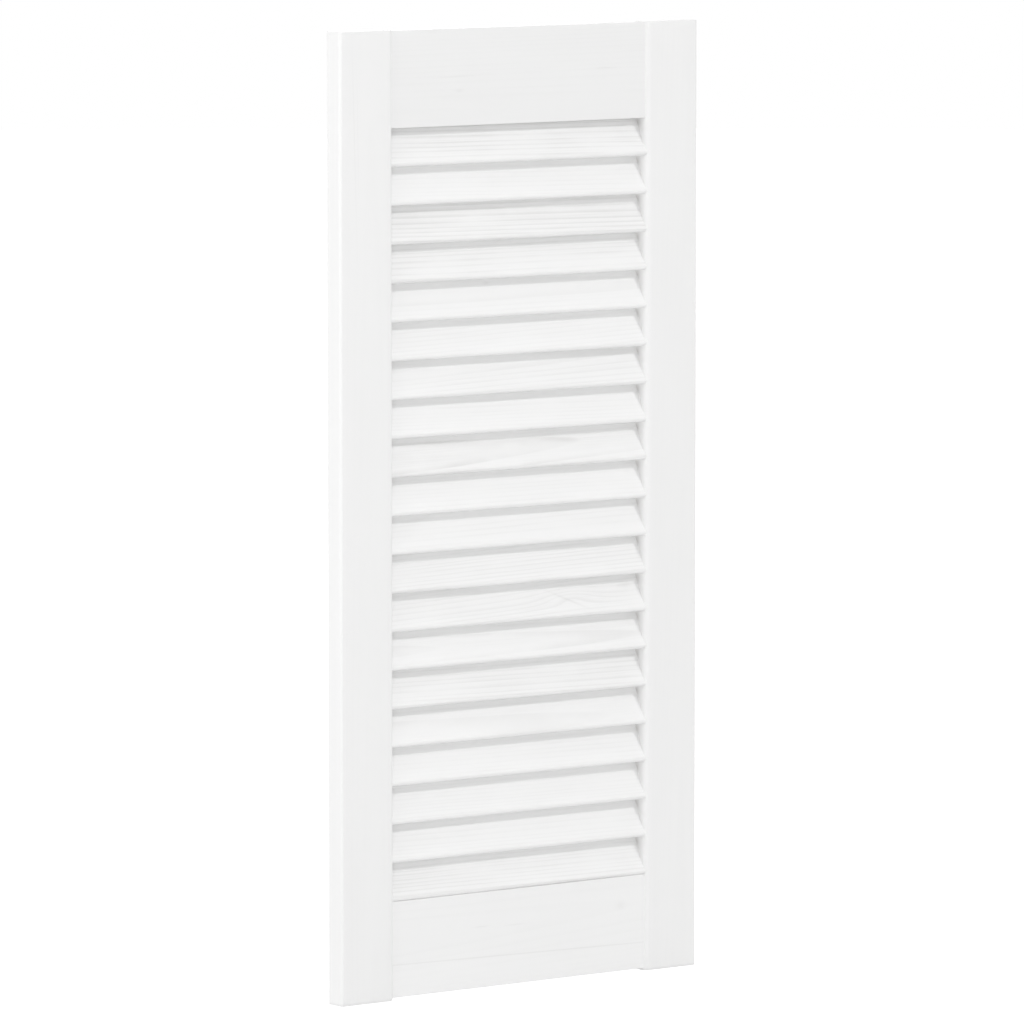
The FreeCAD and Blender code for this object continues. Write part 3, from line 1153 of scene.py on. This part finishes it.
@dataclass(frozen=True)
class Studio:
    """The plain white surroundings: sky light, lamps and floor."""

    sky_colour: Colour = (1.0, 1.0, 1.0, 1.0)
    sky_level: float = 0.66
    floor_paint: Colour = (0.78, 0.78, 0.78, 1.0)
    floor_lift: float = 0.55
    floor_radius: float = 14.0
    floor_sides: int = 96
    floor_drop: float = 0.025
    lamps: tuple[Softbox, ...] = (
        Softbox("key_box", towards=(0.40, -0.70, 0.59), distance=8.0, size=0.8, level=0.195),
        Softbox("side_box", towards=(-0.985, 0.0, 0.14), distance=3.2, size=2.6, level=0.328),
        Softbox("front_box", towards=(0.0, -1.0, 0.10), distance=4.0, size=1.0, level=0.055),
        Softbox("edge_box", towards=(-0.73, -0.68, 0.05), distance=4.0, size=0.5, level=0.08),
        Softbox("top_box", towards=(-0.58, -0.12, 0.80), distance=4.0, size=0.6, level=0.05),
        Softbox("back_box", towards=(0.45, 0.80, 0.40), distance=4.0, size=1.0, level=0.15),
    )

    def build(self, aim: Vector, ground: float) -> None:
        """Make the surroundings.

        Args:
            aim: The middle of the door.
            ground: The height of the door's foot.
        """
        self.light_sky()
        self.lay_floor(aim, ground)
        for lamp in self.lamps:
            lamp.build(aim)

    @staticmethod
    def seen_rays(make: TreeMaker) -> Socket:
        """Add a mask for the rays that show a surface, not those that only carry its light.

        Args:
            make: The maker on the material's or world's tree.

        Returns:
            The mask's socket, 1 for what the eye, a reflection or a pane of glass sees.
        """
        rays = make.add("ShaderNodeLightPath").outputs
        mirrored = make.math("MAXIMUM", rays["Is Glossy Ray"], rays["Is Transmission Ray"])
        return make.math("MAXIMUM", rays["Is Camera Ray"], mirrored)

    def light_sky(self) -> None:
        """Fill the world with even light that shows as plain white."""
        world = bpy.data.worlds.new("white_studio")
        bpy.context.scene.world = world
        make = empty_nodes(world)
        levels = {"Factor": self.seen_rays(make), "A": self.sky_level, "B": 1.0}
        strength = make.add("ShaderNodeMix", levels, data_type="FLOAT").outputs["Result"]
        sky = make.add("ShaderNodeBackground", {"Color": self.sky_colour, "Strength": strength})
        make.add("ShaderNodeOutputWorld", {"Surface": sky.outputs["Background"]})

    def lay_floor(self, aim: Vector, ground: float) -> None:
        """Lay a round floor that the door hangs clear of.

        Args:
            aim: The middle of the door.
            ground: The height of the door's foot.
        """
        shape = bmesh.new()
        bmesh.ops.create_circle(shape, cap_ends=True, segments=self.floor_sides, radius=self.floor_radius)
        mesh = bpy.data.meshes.new("floor")
        shape.to_mesh(mesh)
        shape.free()
        floor = link_object("floor", mesh)
        floor.location = (aim.x, aim.y, ground - self.floor_drop)
        mesh.materials.append(self.floor_material())

    def floor_material(self) -> bpy.types.Material:
        """Make the floor's pale paint, which takes the door's shadow and is clear from below.

        Returns:
            The material.
        """
        material = bpy.data.materials.new("pale_floor")
        make = empty_nodes(material)
        matt = make.add("ShaderNodeBsdfDiffuse", {"Color": self.floor_paint})
        strength = make.math("MULTIPLY", self.seen_rays(make), self.floor_lift)
        lift = make.add("ShaderNodeEmission", {"Strength": strength})
        both = make.add("ShaderNodeAddShader", {0: matt.outputs[0], 1: lift.outputs[0]})
        below = make.add("ShaderNodeNewGeometry").outputs["Backfacing"]
        clear = make.add("ShaderNodeBsdfTransparent")
        pick = make.add("ShaderNodeMixShader", {0: below, 1: both.outputs[0], 2: clear.outputs[0]})
        make.add("ShaderNodeOutputMaterial", {"Surface": pick.outputs[0]})
        return material


@dataclass(frozen=True)
class Eye:
    """The camera, far off to the left of the door and a little above its middle, with angles in degrees."""

    target: Triple = (0.1863, -0.0105, -0.0024)
    turn_left: float = 37.2135
    look_down: float = 5.8298
    distance: float = 7.3634
    lens: float = 294.108
    sensor: float = 36.0
    sight: float = 100.0

    def build(self) -> None:
        """Set up the camera and make it the scene's own."""
        data = bpy.data.cameras.new("eye")
        data.sensor_width = self.sensor
        data.lens = self.lens
        data.clip_end = self.sight
        turn, down = math.radians(self.turn_left), math.radians(self.look_down)
        back = Vector((-math.sin(turn) * math.cos(down), -math.cos(turn) * math.cos(down), math.sin(down)))
        holder = link_object("eye", data)
        turn_towards(holder, Vector(self.target), back, self.distance)
        bpy.context.scene.camera = holder


def main() -> None:
    """Build the door's boards and slats, dress them and set the studio round them."""
    logging.basicConfig(level=logging.INFO, format="%(name)s: %(message)s")
    bpy.context.scene.view_settings.view_transform = "Standard"
    painted = painted_pine_group(pine_figure_group())
    mark_tree = mark_group()
    finishes = STILE_PAINT, RAIL_PAINT, SLAT_PAINT
    materials = {finish.name: finish.material(painted, mark_tree) for finish in finishes}

    leaf = LeafFrame()
    leaf.dress(leaf.build(), materials)
    ladder = SlatLadder(SLATS, SHOWN_GRAIN)
    ladder.dress(ladder.build(materials[SLAT_PAINT.name]))

    low, high = CAD_BOX
    Studio().build((low + high) / 2, low.z)
    Eye().build()


if __name__ == "__main__":
    main()
